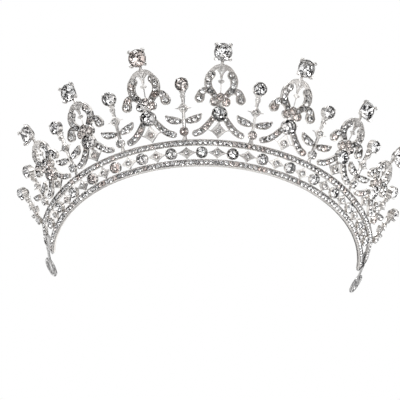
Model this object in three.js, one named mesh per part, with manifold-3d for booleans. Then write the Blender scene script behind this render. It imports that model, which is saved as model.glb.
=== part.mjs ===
// Bridal tiara: two stone channels rolled onto a cone, a gallery of cups and star links between them,
// seven fleur motifs with claw-set crown stones, ten stems between and beside the motifs, and an end
// block with an eye at each end for a hair grip or ribbon. Millimetres, +Z up, the front faces -Y.
//
// Everything is drawn flat: X runs along the band, Y up the slope of the cone and Z outwards. The band
// is then rolled onto the cone by rollOntoCone(), and each flat casting is stood on it by standOnCone().
import * as THREE from "three";
import { mergeVertices } from "three/addons/utils/BufferGeometryUtils.js";
import Module from "manifold-3d";

const wasm = await Module();
wasm.setup();

const rad = THREE.MathUtils.degToRad;

// ---------------------------------------------------------------- driving dimensions
const baseRadius = 82; // cone radius at the lower edge of the band, middle of the metal
const flare = rad(38.3); // slope of the cone, from vertical
const halfLength = 123; // from the front to the end of each rail, along the lower edge
const jointGap = 0.3; // solder gap between separate pieces
const seatGap = 0.15; // clearance between a stone and its setting

const rail = {
  lower: 3.6, // height of each rail up the slope
  upper: 3.2,
  thickness: 1.7,
  rim: 0.5,
  channelDepth: 0.5,
  restFlat: 0.8, // width of the level cut that the tiara stands on
  steps: 36,
};
const galleryGap = 6.3; // clear height between the two rails
const closing = { length: 15, drop: 4 }; // the upper rail comes down to the lower one near each end
const gallery = {
  links: 7, // stars on each side of the middle one
  railClearance: 0.3, // above and below each cup
  cupHeight: 2.1,
  wall: 0.35,
  seatDepth: 0.7,
  plateThickness: 1.2,
};
const starBoss = { radius: 1.75, height: 1.9 }; // the collet in the middle of every star

const castThickness = 1.5; // of every flat casting
const motifPlaces = [0, 1, 1.986, 2.91]; // in pitches from the front
const stemsBeyond = 2; // stems past the last motif, half a pitch apart
const endMargin = 9.6; // from the last stem to the end of the rails
const drawnPitch = 29; // the pitch that the outlines of the castings are drawn for
const motifGrades = [1, 1, 0.88, 0.79]; // the outer motifs are lower
const motifWidthGrades = [1, 1, 0.94, 0.9]; // and a little narrower
const ribbonWidth = { leg: 2.9, scroll: 3.3, volute: 3, arch: 1.9 };
const lobeRadius = 2.5; // rolled ends of the volutes
const wireWidth = 0.8;
const roundSetting = { radius: 3.95, height: 2.7, stoneRadius: 3.55, seatDepth: 1.2 };
const trefoil = { cupRadius: 1.8, height: 2, spread: 2.9, rise: 1.9 };
const starWaist = 1.5;
const drop = { reach: 5.4, below: 2.6 }; // the star that hangs between the legs

const crown = {
  stoneRadius: 4.25,
  prongWidth: 1.3,
  wall: 1.2,
  grip: 1.5, // how far the claws reach past the girdle
  footRadius: 2.6,
  footThickness: 0.9,
};
const crownOffset = 6.4; // from the middle line of the arch to the crown stone
const cutShares = { girdle: 0.1, table: 0.58, crownHeight: 0.3, pavilion: 0.6 }; // of a stone's radius

const stemGrades = [1, 1, 1, 0.84, 0.8];
const stemLeans = [0, 0, 2, 5, 8]; // degrees towards the front
const stemLeafShares = [1, 1, 1, 0.9, 0.6];
const stemWire = 1.2;
const stemStone = { radius: 3.1 };
const stemCup = { radius: 3.45, height: 2.6, seatRadius: stemStone.radius + seatGap, seatDepth: 1 };
const stemBase = { radius: 2.25, height: 2.2 };
const stemStar = { reach: 4.1, halfHeight: 3.5 };

const endBlock = { length: 7, lip: 2.4, chamfer: 2.6, thickness: 1.5, lift: 0.6 };
const eye = {
  length: 13,
  width: 10.8,
  wire: 1.6,
  neck: 11,
  neckWidth: 1.8,
  lift: 0.6,
  stand: 7, // from the end block to the place where the flat eye lies along the cone
};

// ---------------------------------------------------------------- sizes that follow
const upperRailFoot = rail.lower + galleryGap;
const bandHeight = upperRailFoot + rail.upper;
const galleryMiddle = rail.lower + galleryGap / 2;
const castBack = -castThickness / 2;
const cupRadius = galleryGap / 2 - gallery.railClearance;
const galleryPitch = (halfLength - closing.length - cupRadius) / (gallery.links + 0.5);
const lastPlace = motifPlaces[motifPlaces.length - 1];
const motifPitch = (halfLength - endMargin) / (lastPlace + stemsBeyond / 2);
const stretch = motifPitch / drawnPitch; // of every outline, along the band
const crownGirdle = castBack + crown.footThickness + seatGap + cutShares.pavilion * crown.stoneRadius;

// Height levels of a motif and a stem of full grade, above the lower edge of the band.
const level = {
  drop: 17,
  round: 25.3,
  trefoil: 31,
  bead: 41.2,
  archTop: 48.2,
  leaf: 22.9,
  star: 28.3,
  link: 34.1,
  stemTop: 39.6,
  stemBase: 17,
};

// How far the upper rail has come down at a place along the band.
function railDrop(station) {
  const start = halfLength - closing.length;
  return closing.drop * THREE.MathUtils.smoothstep(Math.abs(station), start, halfLength);
}

// Where a casting stands on the upper rail.
const standHeight = (station) => bandHeight - railDrop(station) + jointGap;

// ---------------------------------------------------------------- solids
function toSolid(geometry) {
  const bare = geometry.index ? geometry.toNonIndexed() : geometry.clone();
  bare.deleteAttribute("normal");
  bare.deleteAttribute("uv");
  const merged = mergeVertices(bare, 1e-4);
  const mesh = new wasm.Mesh({
    numProp: 3,
    vertProperties: merged.attributes.position.array,
    triVerts: new Uint32Array(merged.index.array),
  });
  return new wasm.Manifold(mesh);
}

function join(geometries) {
  const mesh = geometries
    .map(toSolid)
    .reduce((all, next) => all.add(next))
    .getMesh();
  const geometry = new THREE.BufferGeometry();
  geometry.setAttribute("position", new THREE.BufferAttribute(mesh.vertProperties, 3));
  geometry.setIndex(new THREE.BufferAttribute(mesh.triVerts, 1));
  return geometry;
}

const toVectors = (points) => points.map(([x, y]) => new THREE.Vector2(x, y));

// A flat plate of the given outline, as thick in front of the drawing plane as behind it.
function plate(outline, thickness) {
  const shape = outline instanceof THREE.Shape ? outline : new THREE.Shape(toVectors(outline));
  const geometry = new THREE.ExtrudeGeometry(shape, { depth: thickness, bevelEnabled: false });
  return geometry.translate(0, 0, -thickness / 2);
}

// A ribbon of constant width along a smooth line through the given points.
function ribbon(points, width, segments = 4) {
  const line = new THREE.SplineCurve(toVectors(points));
  const left = [];
  const right = [];
  for (let i = 0; i <= segments; i++) {
    const along = line.getTangent(i / segments);
    const side = new THREE.Vector2(-along.y, along.x).multiplyScalar(width / 2);
    const point = line.getPoint(i / segments);
    left.push(point.clone().add(side));
    right.unshift(point.clone().sub(side));
  }
  return plate(new THREE.Shape([...left, ...right]), castThickness);
}

// A round boss with its back flush with the castings.
const boss = (x, y, radius, height, sides = 8) =>
  new THREE.CylinderGeometry(radius, radius, height, sides)
    .rotateX(Math.PI / 2)
    .translate(x, y, castBack + height / 2);

const bar = (x, y, width, height, thickness) =>
  new THREE.BoxGeometry(width, height, thickness).translate(x, y, 0);

// A round cup with its back flush with the castings and a seat for a stone in its front.
function cup(x, y, { radius, height, seatRadius, seatDepth }, sides = 8) {
  const front = castBack + height;
  const profile = toVectors([
    [0, castBack],
    [radius, castBack],
    [radius, front],
    [seatRadius, front],
    [seatRadius, front - seatDepth],
    [0, front - seatDepth],
  ]);
  return new THREE.LatheGeometry(profile, sides).rotateX(Math.PI / 2).translate(x, y, 0);
}

// How high the girdle of a stone lies when its culet just clears the floor of its cup.
const seatedGirdle = (setting, stoneRadius) =>
  castBack + setting.height - setting.seatDepth + seatGap + cutShares.pavilion * stoneRadius;

const starSeat = (x, y) => boss(x, y, starBoss.radius, starBoss.height, 6);

// A star with four points and hollow sides.
function star(x, y, reach, up, down) {
  return plate(
    [
      [x + reach, y],
      [x + starWaist, y + starWaist],
      [x, y + up],
      [x - starWaist, y + starWaist],
      [x - reach, y],
      [x - starWaist, y - starWaist],
      [x, y - down],
      [x + starWaist, y - starWaist],
    ],
    gallery.plateThickness,
  );
}

// A round stone: culet, pavilion, girdle, crown and table, with the foot of its girdle at height zero.
function roundStone(radius, sides = 10) {
  const girdle = cutShares.girdle * radius;
  const profile = toVectors([
    [0, -cutShares.pavilion * radius],
    [radius, 0],
    [radius, girdle],
    [cutShares.table * radius, girdle + cutShares.crownHeight * radius],
    [0, girdle + cutShares.crownHeight * radius],
  ]);
  return new THREE.LatheGeometry(profile, sides).rotateX(Math.PI / 2);
}

// Rolls a flat drawing onto the cone.
function rollOntoCone(geometry) {
  const position = geometry.attributes.position;
  const point = new THREE.Vector3();
  for (let i = 0; i < position.count; i++) {
    point.fromBufferAttribute(position, i);
    const angle = point.x / baseRadius;
    const radius = baseRadius + point.y * Math.sin(flare) + point.z * Math.cos(flare);
    const height = point.y * Math.cos(flare) - point.z * Math.sin(flare);
    position.setXYZ(i, radius * Math.sin(angle), -radius * Math.cos(angle), height);
  }
  return geometry;
}

// ---------------------------------------------------------------- the assembly
const silver = { color: 0xd9d8d4, roughness: 0.22, metalness: 1 };
const plainSilver = { color: 0xcfceca, roughness: 0.3, metalness: 1 };
const crystal = { color: 0xeef1f4, roughness: 0.03, metalness: 0.1 };

const assembly = new THREE.Group();

function addPiece(name, geometry, finish, parent = assembly) {
  const mesh = new THREE.Mesh(geometry, new THREE.MeshStandardMaterial(finish));
  mesh.name = name;
  parent.add(mesh);
  return mesh;
}

// A group on the tangent plane of the cone at a place along the band.
function standOnCone(station) {
  const turned = new THREE.Group();
  turned.rotation.z = station / baseRadius;
  const tilted = new THREE.Group();
  tilted.position.y = -baseRadius;
  tilted.rotation.x = Math.PI / 2 + flare;
  turned.add(tilted);
  assembly.add(turned);
  return tilted;
}

const sides = [
  ["left", -1],
  ["right", 1],
];

// ---------------------------------------------------------------- rails
// A channel with two rims, open to the front. Its lower front corner can be cut level, to rest on.
function sweepRail(foot, height, restFlat) {
  const half = rail.thickness / 2;
  const corner = restFlat
    ? [
        [0, half - restFlat * Math.cos(flare)],
        [restFlat * Math.sin(flare), half],
      ]
    : [[0, half]];
  const section = [
    [0, -half],
    ...corner,
    [rail.rim + restFlat * Math.sin(flare), half],
    [rail.rim + restFlat * Math.sin(flare), half - rail.channelDepth],
    [height - rail.rim, half - rail.channelDepth],
    [height - rail.rim, half],
    [height, half],
    [height, -half],
  ].map(([up, out]) => [-out, foot + up]);
  const shape = new THREE.Shape(toVectors(section));
  const geometry = new THREE.ExtrudeGeometry(shape, {
    depth: 2 * halfLength,
    steps: rail.steps,
    bevelEnabled: false,
  });
  return geometry.rotateY(Math.PI / 2).translate(-halfLength, 0, 0);
}

function upperRail() {
  const geometry = sweepRail(upperRailFoot, rail.upper, 0);
  const position = geometry.attributes.position;
  for (let i = 0; i < position.count; i++) {
    position.setY(i, position.getY(i) - railDrop(position.getX(i)));
  }
  return geometry;
}

addPiece("lower_rail", rollOntoCone(sweepRail(0, rail.lower, rail.restFlat)), silver);
addPiece("upper_rail", rollOntoCone(upperRail()), silver);

// ---------------------------------------------------------------- gallery between the rails
function galleryStrip() {
  const roundCup = {
    radius: cupRadius,
    height: gallery.cupHeight,
    seatRadius: cupRadius - gallery.wall,
    seatDepth: gallery.seatDepth,
  };
  const tall = galleryGap / 2 - jointGap;
  const reach = galleryPitch / 2 - cupRadius + wireWidth;
  const pieces = [];
  for (let i = -gallery.links; i <= gallery.links; i++) {
    pieces.push(star(i * galleryPitch, galleryMiddle, reach, tall, tall));
    pieces.push(starSeat(i * galleryPitch, galleryMiddle));
  }
  for (let i = -gallery.links - 1; i <= gallery.links; i++) {
    pieces.push(cup((i + 0.5) * galleryPitch, galleryMiddle, roundCup));
  }
  return join(pieces);
}

addPiece("gallery_strip", rollOntoCone(galleryStrip()), silver);

// ---------------------------------------------------------------- motifs
// One half of the fleur. The point function grades and places the points of its middle lines.
function fleurSide(at, footHeight) {
  const volute = [
    [3.4, 34.2],
    [6.4, 36.3],
    [9.4, 35.6],
    [10.2, 32.8],
  ].map(at);
  const lobe = volute[volute.length - 1];
  const leg = [
    [8.7, 16.5],
    [6.4, 18.7],
    [4.5, 21.3],
    [2.8, 24.2],
  ].map(at);
  const legEnd = [at([11.2, 0])[0], footHeight + ribbonWidth.leg / 2];
  const scroll = [
    [1.6, 32.4],
    [4.6, 36.4],
    [6.2, 40],
    [4.6, 43.8],
  ].map(at);
  const arch = [
    [7.5, 40.2],
    [6.2, 44.6],
    [3.5, 47.4],
    [-0.4, level.archTop],
  ].map(at);
  return [
    ribbon([legEnd, ...leg], ribbonWidth.leg),
    ribbon(scroll, ribbonWidth.scroll),
    ribbon(volute, ribbonWidth.volute),
    boss(lobe[0], lobe[1], lobeRadius, castThickness),
    ribbon(arch, ribbonWidth.arch),
  ];
}

function motifFrame(width, footHeight, up) {
  const round = up(level.round);
  const heart = up(level.trefoil);
  const bead = up(level.bead);
  const top = up(level.archTop);
  const dropHeight = up(level.drop);
  const dropFoot = Math.min(drop.below, dropHeight - footHeight);
  const cluster = [
    [0, heart - trefoil.cupRadius / 2],
    [0, heart + trefoil.rise],
    [-trefoil.spread, heart],
    [trefoil.spread, heart],
  ].map(([x, y]) => boss(x, y, trefoil.cupRadius, trefoil.height));
  const setting = { ...roundSetting, seatRadius: roundSetting.stoneRadius + seatGap };
  return join([
    ...sides.flatMap(([, side]) => fleurSide(([x, y]) => [side * x * width, up(y)], footHeight)),
    cup(0, round, setting, 10),
    ...cluster,
    bar(0, (heart + top) / 2, wireWidth, top - heart, wireWidth),
    boss(0, bead, wireWidth * 1.5, castThickness, 6),
    star(0, dropHeight, drop.reach * width, round - dropHeight, dropFoot),
    starSeat(0, dropHeight),
  ]);
}

// Four claws that lean out from a round foot to the girdle of the stone, and a neck down to the arch.
function clawSetting() {
  const inner = crown.stoneRadius + seatGap;
  const claw = [
    [crown.footRadius - 1.2, castBack],
    [crown.footRadius + 0.4, castBack],
    [inner + crown.wall, crownGirdle - crown.wall],
    [inner + crown.wall, crownGirdle + crown.grip],
    [inner, crownGirdle + crown.grip],
    [inner, crownGirdle - crown.wall / 2],
  ];
  const prong = new THREE.ExtrudeGeometry(new THREE.Shape(toVectors(claw)), {
    depth: crown.prongWidth,
    bevelEnabled: false,
  })
    .translate(0, 0, -crown.prongWidth / 2)
    .rotateX(Math.PI / 2);
  const neck = crownOffset - ribbonWidth.arch / 2 - jointGap;
  const neckBar = bar(0, -neck / 2, wireWidth * 2, neck, crown.footThickness);
  return join([
    boss(0, 0, crown.footRadius, crown.footThickness, 10),
    ...[45, 135, 225, 315].map((angle) => prong.clone().rotateZ(rad(angle))),
    neckBar.translate(0, 0, castBack + crown.footThickness / 2),
  ]);
}

function addMotif(label, station, index) {
  const spot = standOnCone(station);
  const foot = standHeight(station);
  const up = (height) => foot + (height - bandHeight - jointGap) * motifGrades[index];
  addPiece(`${label}_fleur_frame`, motifFrame(motifWidthGrades[index] * stretch, foot, up), silver, spot);
  const round = addPiece(`${label}_round_stone`, roundStone(roundSetting.stoneRadius), crystal, spot);
  round.position.set(0, up(level.round), seatedGirdle(roundSetting, roundSetting.stoneRadius));
  const crownHeight = up(level.archTop) + crownOffset;
  addPiece(`${label}_claw_setting`, clawSetting(), silver, spot).position.y = crownHeight;
  const stone = addPiece(`${label}_crown_stone`, roundStone(crown.stoneRadius), crystal, spot);
  stone.position.set(0, crownHeight, crownGirdle);
}

const motifStations = motifPlaces.map((place) => place * motifPitch);

addMotif("centre", motifStations[0], 0);
for (const [word, side] of sides) {
  for (let i = 1; i < motifStations.length; i++) addMotif(`${word}_${i}`, side * motifStations[i], i);
}

// ---------------------------------------------------------------- stems
// A leaf that springs from the stalk, with its tip turned up.
function leaf(side, middle, share) {
  return plate(
    [
      [0.2, -0.9],
      [2.6, -1.7],
      [5.6, -1.4],
      [7.6, 0.4],
      [8.4, 2],
      [5.4, 1.2],
      [2.4, 1.3],
      [0.2, 0.3],
    ].map(([x, y]) => [side * x * share * stretch, middle + y]),
    castThickness,
  );
}

function stemFrame(up, leafShare) {
  const base = up(level.stemBase);
  const top = up(level.stemTop);
  return join([
    bar(0, base / 2, stemBase.radius, base, stemWire),
    boss(0, base, stemBase.radius, stemBase.height),
    bar(0, (base + top) / 2, stemWire, top - base, stemWire),
    ...sides.map(([, side]) => leaf(side, up(level.leaf), leafShare)),
    star(0, up(level.star), stemStar.reach, stemStar.halfHeight, stemStar.halfHeight),
    starSeat(0, up(level.star)),
    boss(0, up(level.link), stemWire, castThickness, 6),
    cup(0, top, stemCup, 10),
  ]);
}

// Where a stem stands: its lean lowers the front corner of its foot, where the dropping rail is also highest.
function stemHeight(station, lean) {
  const reach = stemBase.radius / 2;
  return standHeight(Math.abs(station) - reach) + reach * Math.sin(lean);
}

function addStem(label, station, index) {
  const lean = rad(stemLeans[index]);
  const spot = new THREE.Group(); // its origin is the foot of the stem
  spot.position.y = stemHeight(station, lean);
  spot.rotation.z = Math.sign(station) * lean;
  standOnCone(station).add(spot);
  const up = (height) => (height - bandHeight - jointGap) * stemGrades[index];
  addPiece(`${label}_stem_frame`, stemFrame(up, stemLeafShares[index]), silver, spot);
  const stone = addPiece(`${label}_stem_stone`, roundStone(stemStone.radius), crystal, spot);
  stone.position.set(0, up(level.stemTop), seatedGirdle(stemCup, stemStone.radius));
}

const stemStations = motifStations.slice(1).map((station, i) => (station + motifStations[i]) / 2);
for (let i = 1; i <= stemsBeyond; i++) stemStations.push((lastPlace + i / 2) * motifPitch);

for (const [word, side] of sides) {
  stemStations.forEach((station, i) => addStem(`${word}_${i + 1}`, side * station, i));
}

// ---------------------------------------------------------------- band ends
// The block that fills the slot between the rails and closes their ends, with a chamfered upper corner.
function endBlockPlate(side) {
  const slotFoot = rail.lower + jointGap;
  const slotTop = (back) => upperRailFoot - railDrop(halfLength - back) - jointGap;
  const top = bandHeight - closing.drop - jointGap;
  const outline = [
    [-endBlock.length, slotFoot],
    [jointGap, slotFoot],
    [jointGap, endBlock.lift],
    [endBlock.lip, endBlock.lift],
    [endBlock.lip, top - endBlock.chamfer],
    [jointGap + wireWidth, top],
    [jointGap, top],
    [jointGap, slotTop(0)],
    [-endBlock.length / 2, slotTop(endBlock.length / 2)],
    [-endBlock.length, slotTop(endBlock.length)],
  ];
  return plate(
    outline.map(([x, y]) => [side * (halfLength + x), y]),
    endBlock.thickness,
  );
}

// An oval eye of flattened wire on a long neck that runs on from the end block.
function endEye(side) {
  const neckFoot = -eye.stand;
  const middle = neckFoot + eye.neck + eye.length / 2;
  const height = eye.width / 2 + eye.lift;
  const oval = (shrink) => {
    const path = new THREE.Path();
    path.absellipse(side * middle, height, eye.length / 2 - shrink, eye.width / 2 - shrink, 0, 2 * Math.PI);
    return path.getPoints(14).slice(0, -1);
  };
  const outline = new THREE.Shape(oval(0));
  outline.holes.push(new THREE.Path(oval(eye.wire)));
  const neckLength = eye.neck + eye.wire / 2;
  return join([
    plate(outline, eye.wire),
    bar(side * (neckFoot + neckLength / 2), height, neckLength, eye.neckWidth, eye.wire * 0.9),
  ]);
}

for (const [word, side] of sides) {
  addPiece(`${word}_end_block`, rollOntoCone(endBlockPlate(side)), plainSilver);
  const spot = standOnCone(side * (halfLength + endBlock.lip + jointGap + eye.stand));
  addPiece(`${word}_end_eye`, endEye(side), plainSilver, spot);
}

// The origin is the middle of the footprint, on the surface that the tiara stands on.
const bounds = new THREE.Box3().setFromObject(assembly, true);
const middle = bounds.getCenter(new THREE.Vector3());
assembly.position.set(-middle.x, -middle.y, -bounds.min.z);

const tiara = new THREE.Group();
tiara.add(assembly);

export default tiara;
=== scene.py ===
import math

import bpy
import numpy as np
from mathutils import Euler, Matrix, Vector


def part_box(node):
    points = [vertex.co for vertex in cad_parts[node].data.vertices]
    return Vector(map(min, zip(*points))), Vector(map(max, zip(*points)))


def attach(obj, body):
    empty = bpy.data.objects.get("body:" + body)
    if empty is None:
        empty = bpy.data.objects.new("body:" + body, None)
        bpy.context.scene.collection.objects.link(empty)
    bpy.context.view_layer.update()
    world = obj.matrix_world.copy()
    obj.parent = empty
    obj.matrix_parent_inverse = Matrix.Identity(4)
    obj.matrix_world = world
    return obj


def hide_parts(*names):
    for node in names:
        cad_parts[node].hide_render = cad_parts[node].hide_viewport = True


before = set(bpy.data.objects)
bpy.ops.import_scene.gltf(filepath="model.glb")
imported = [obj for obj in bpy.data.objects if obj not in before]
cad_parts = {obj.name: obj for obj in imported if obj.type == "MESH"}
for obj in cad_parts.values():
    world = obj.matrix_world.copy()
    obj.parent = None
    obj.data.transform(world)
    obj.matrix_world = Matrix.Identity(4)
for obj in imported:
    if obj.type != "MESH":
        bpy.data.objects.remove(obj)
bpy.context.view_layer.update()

chance = np.random.default_rng(7)  # one seeded source for spins, tilts and tints

# The band: everything is drawn flat in mm (along, up the slope, outwards) and put on a cone.

band = {
    "baseRadius": 82.0, "flare": math.radians(38.3), "halfLength": 123.0,
    "lowerTop": 3.6, "upperFoot": 9.9, "upperTop": 13.1, "thickness": 1.7, "restFlat": 0.8,
    "closing": 15.0, "drop": 4.0, "solderGap": 0.3,
}
shade = {"turnedDepth": 1.2, "strapDepth": 0.45, "strapEnd": 0.3, "wire": 0.15, "claw": 0.1, "ring": 0.1,
         "block": 0.15, "railBack": 0.7}  # where painted shade gathers: depths in mm, and shares of full painted shade
sinF, cosF = math.sin(band["flare"]), math.cos(band["flare"])
halfBand = band["thickness"] / 2
lowerLow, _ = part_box("lower_rail")
outerRadius = band["baseRadius"] + band["lowerTop"] * sinF + halfBand * cosF
centreY = lowerLow.y * 1000 + outerRadius  # the cone's axis, from the front of the lower rail
edgeLevel = lowerLow.z * 1000 + (halfBand - band["restFlat"] * cosF) * sinF
castBack = -0.75  # back of every casting
drawnPitch = 29.0
motifPlaces = np.array([0.0, 1.0, 1.986, 2.91]) * drawnPitch
grades = [1.0, 1.0, 0.88, 0.79]
widths = [1.0, 1.0, 0.94, 0.9]


def railDrop(s):  # smooth step over the closing stretch, times the drop
    t = np.clip((np.abs(s) - band["halfLength"] + band["closing"]) / band["closing"], 0, 1)
    return band["drop"] * t * t * (3 - 2 * t)


class Seat:
    # Puts flat points on the cone: rolled all round it, or standing flat on it at one station, with an
    # optional lean about the foot (degrees towards the front of the band).
    def __init__(self, station=None, lean=0.0, foot=0.0):
        self.station, self.foot = station, foot
        self.turn = math.radians(lean) * (1 if station and station > 0 else -1)

    def angles(self, along):
        if self.station is None:
            return along / band["baseRadius"]
        return np.full(np.shape(along), self.station / band["baseRadius"])

    def points(self, flat):
        # Radius grows with height and outward distance; a standing piece adds its tangent.
        along, up, out = flat[..., 0], flat[..., 1], flat[..., 2]
        c, s, rise = math.cos(self.turn), math.sin(self.turn), up - self.foot
        along, up = (along * c - rise * s, self.foot + along * s + rise * c) if self.turn else (along, up)
        a = self.angles(along)
        r = band["baseRadius"] + up * sinF + out * cosF
        side = 0.0 if self.station is None else along
        x = r * np.sin(a) + side * np.cos(a)
        y = centreY - r * np.cos(a) + side * np.sin(a)
        z = edgeLevel + up * cosF - out * sinF
        return np.stack([x, y, z], -1)

    def axes(self, along):  # along the band, up the slope, outwards, as rows
        a = self.angles(np.asarray(along, float))
        zero = np.zeros_like(a)
        t = np.stack([np.cos(a), np.sin(a), zero], -1)
        g = np.stack([np.sin(a) * sinF, -np.cos(a) * sinF, zero + cosF], -1)
        n = np.stack([np.sin(a) * cosF, -np.cos(a) * cosF, zero - sinF], -1)
        c, s = math.cos(self.turn), math.sin(self.turn)
        return np.stack([t * c + g * s, g * c - t * s, n], -2)


rolled = Seat()


# Meshes as arrays: a chunk is points, quads, triangles, and a recess and a tint for each point.

def chunk(points, quads=None, tris=None, recess=0.0, tint=0.0, parts=None):
    n = len(points)
    return {
        "points": np.asarray(points, float),
        "quads": np.zeros((0, 4), int) if quads is None else np.asarray(quads, int),
        "tris": np.zeros((0, 3), int) if tris is None else np.asarray(tris, int),
        "recess": np.broadcast_to(np.asarray(recess, float), (n,)).copy(),
        "tint": np.broadcast_to(np.asarray(tint, float), (n,)).copy(),
        "parts": parts,  # material number of each face, quads first
    }


def joined(chunks):  # stacks the points and moves each chunk's face numbers on by the points before it
    starts = np.cumsum([0] + [len(c["points"]) for c in chunks[:-1]])
    made = {k: np.concatenate([c[k] for c in chunks]) for k in ("points", "recess", "tint")}
    for k in ("quads", "tris"):
        made[k] = np.concatenate([c[k] + s for c, s in zip(chunks, starts)])
    if chunks[0]["parts"] is None:
        made["parts"] = None
    else:
        cut = [len(c["quads"]) for c in chunks]
        made["parts"] = np.concatenate(
            [c["parts"][:q] for c, q in zip(chunks, cut)] + [c["parts"][q:] for c, q in zip(chunks, cut)])
    return made


def seated(c, seat):  # a flat chunk on the cone
    return {**c, "points": seat.points(c["points"])}


def gridFaces(rows, columns, wrapRows=False):  # quads of a grid whose columns close on themselves
    i = np.arange(rows if wrapRows else rows - 1)[:, None]
    j = np.arange(columns)[None, :]
    i2, j2 = (i + 1) % rows, (j + 1) % columns
    corners = [i * columns + j, i * columns + j2, i2 * columns + j2, i2 * columns + j]
    return np.stack(corners, -1).reshape(-1, 4)


def capped(rings, ends, recess=0.0):
    # Closes a grid of rings (rows, count, 3) with a fan to a point at each end, and turns its faces outwards.
    rows, count = rings.shape[:2]
    j = np.arange(count)
    after, last, pole = (j + 1) % count, (rows - 1) * count, rows * count
    fans = np.concatenate([np.stack([np.full(count, pole), after, j], 1),
                           np.stack([np.full(count, pole + 1), last + j, last + after], 1)])
    return facesOut(chunk(np.vstack([rings.reshape(-1, 3), ends]), gridFaces(rows, count), fans, recess))


def recessOf(out, front, floor):  # 0 at the front surface, 1 on the floor of a recess: how much painted shade the metal gets there
    return np.clip((front - out) / max(front - floor, 1e-6), 0, 1)


def smoothLine(control, count):
    # Catmull-Rom curve: each span blends its four nearest points by cubic weights.
    p = np.asarray(control, float)
    p = np.vstack([2 * p[0] - p[1], p, 2 * p[-1] - p[-2]])
    t = np.linspace(0, len(p) - 3 - 1e-9, count)
    k, f = t.astype(int), (t % 1)[:, None]
    a, b, c, d = p[k], p[k + 1], p[k + 2], p[k + 3]
    return 0.5 * (2 * b + (c - a) * f + (2 * a - 5 * b + 4 * c - d) * f**2 + (3 * b - a - 3 * c + d) * f**3)


def along(values, count):  # values blended evenly along a line
    return np.interp(np.linspace(0, 1, count), np.linspace(0, 1, len(values)), values)


def lineSides(line):  # unit vectors along and across a flat line
    along = np.gradient(line, axis=0)
    along /= np.linalg.norm(along, axis=1)[:, None]
    return along, np.stack([-along[:, 1], along[:, 0]], 1)


def spaced(line, pitch, start, end):
    # Points about a pitch apart along a flat line, from a start to an end short of its tip; any column past
    # the second is blended along with them.
    run = np.concatenate([[0], np.cumsum(np.linalg.norm(np.diff(line[:, :2], axis=0), axis=1))])
    count = max(int(round((run[-1] - start - end) / pitch)) + 1, 2)
    at = np.linspace(start, run[-1] - end, count)
    return np.stack([np.interp(at, run, column) for column in line.T], 1)


def strapGrid(line, width, columns, caps):
    # A strap's rows: point, plus across times (half width less inset), and round caps where the same
    # distance swings from across to along; columns are (side, inset) and caps are (start, end).
    along, across = lineSides(line)
    swing = np.radians([22.0, 44.0, 64.0, 80.0])
    half = width / 2
    rows = [(line, along, across, half, np.ones(len(line)), np.zeros(len(line)))]
    for wanted, k, sign in ((caps[0], 0, -1), (caps[1], -1, 1)):
        if wanted:
            turn = swing[::-1] if sign < 0 else swing
            one = [np.repeat(v[k][None], 4, 0) for v in (line, along, across)]
            cap = (*one, np.full(4, half[k]), np.cos(turn), sign * np.sin(turn))
            rows = [cap] + rows if sign < 0 else rows + [cap]
    base, a, n, h, c, s = (np.concatenate([r[i] for r in rows]) for i in range(6))
    side, inset = np.array(columns, float).T
    reach = np.maximum(h[:, None] - inset[None], 0.02)
    return (base[:, None] + n[:, None] * (side * reach * c[:, None])[..., None]
            + a[:, None] * (reach * s[:, None])[..., None])


def strap(line, width, section, caps=(False, True)):
    # Carries a section along a flat line; the section is (side, inset from the edge, out) all the way round.
    columns = [(side, inset) for side, inset, _ in section]
    out = np.array([z for _, _, z in section])
    flat = strapGrid(line, width, columns, caps)
    rows, count = flat.shape[:2]
    rings = np.concatenate([flat, np.broadcast_to(out[None, :, None], (rows, count, 1))], -1)
    ends = np.array([[*flat[0].mean(0), out.mean()], [*flat[-1].mean(0), out.mean()]])
    # painted shade: darker down into the channel, a fixed share at the strap's end points
    recess = recessOf(rings[..., 2].ravel(), out.max(), out.max() - shade["strapDepth"])
    return capped(rings, ends, np.append(recess, [shade["strapEnd"]] * 2))


def bothSides(half):  # mirrors the left half of a section, outer back edge first
    return [(-1, i, z) for i, z in half] + [(1, i, z) for i, z in half[::-1]]


def channelSection(front, depth, rim, back=castBack):
    return bothSides([(0, back), (0, front - 0.12), (0.09, front), (rim - 0.07, front), (rim, front - depth)])


def domedSection(front, half, back=castBack):  # a round front on straight sides: a quarter turn in steps
    u = np.linspace(0, 1, 5)[:-1] * math.pi / 2
    dome = np.stack([half * (1 - np.cos(u)), back + (front - back) * (0.45 + 0.55 * np.sin(u))], 1)
    return bothSides([(0, back)] + dome.tolist())


def turned(profile, count=24, reach=None, at=(0, 0)):
    # Turns a profile of (radius, out) round an axis and closes its ends there; reach stretches the radius by
    # direction.
    profile = np.asarray(profile, float)
    a = np.arange(count) * 2 * math.pi / count
    stretch = np.ones((count, 2)) if reach is None else reach(a)
    ring = np.stack([np.cos(a), np.sin(a)], 1) * stretch
    body = profile[1:-1]
    flat = body[:, None, :1] * ring[None] + np.asarray(at)
    out = np.broadcast_to(body[:, None, 1:], (len(body), count, 1))
    poles = np.array([[*at, profile[0, 1]], [*at, profile[-1, 1]]])
    front = profile[:, 1].max()
    # painted shade: darker the further a point lies behind the front
    recess = recessOf(np.append(out, poles[:, 2]), front, front - shade["turnedDepth"])
    return capped(np.concatenate([flat, out], -1), poles, recess)


def starReach(sideways, up, down, hollow):
    # A four-pointed outline: the smaller hollow is, the deeper its sides.
    def reach(a):
        c, s = np.abs(np.cos(a)), np.abs(np.sin(a))
        r = (c**hollow + s**hollow + 1e-9) ** (-1 / hollow)
        return np.stack([r * sideways, r * np.where(np.sin(a) > 0, up, down)], 1)
    return reach


def plateProfile(front, rim=0.1, back=castBack):  # a flat plate with a raised, softened edge
    return [(0, front - rim), (0.62, front - rim), (0.78, front), (0.94, front), (1, front - 0.12),
            (1, back), (0, back)]


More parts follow.
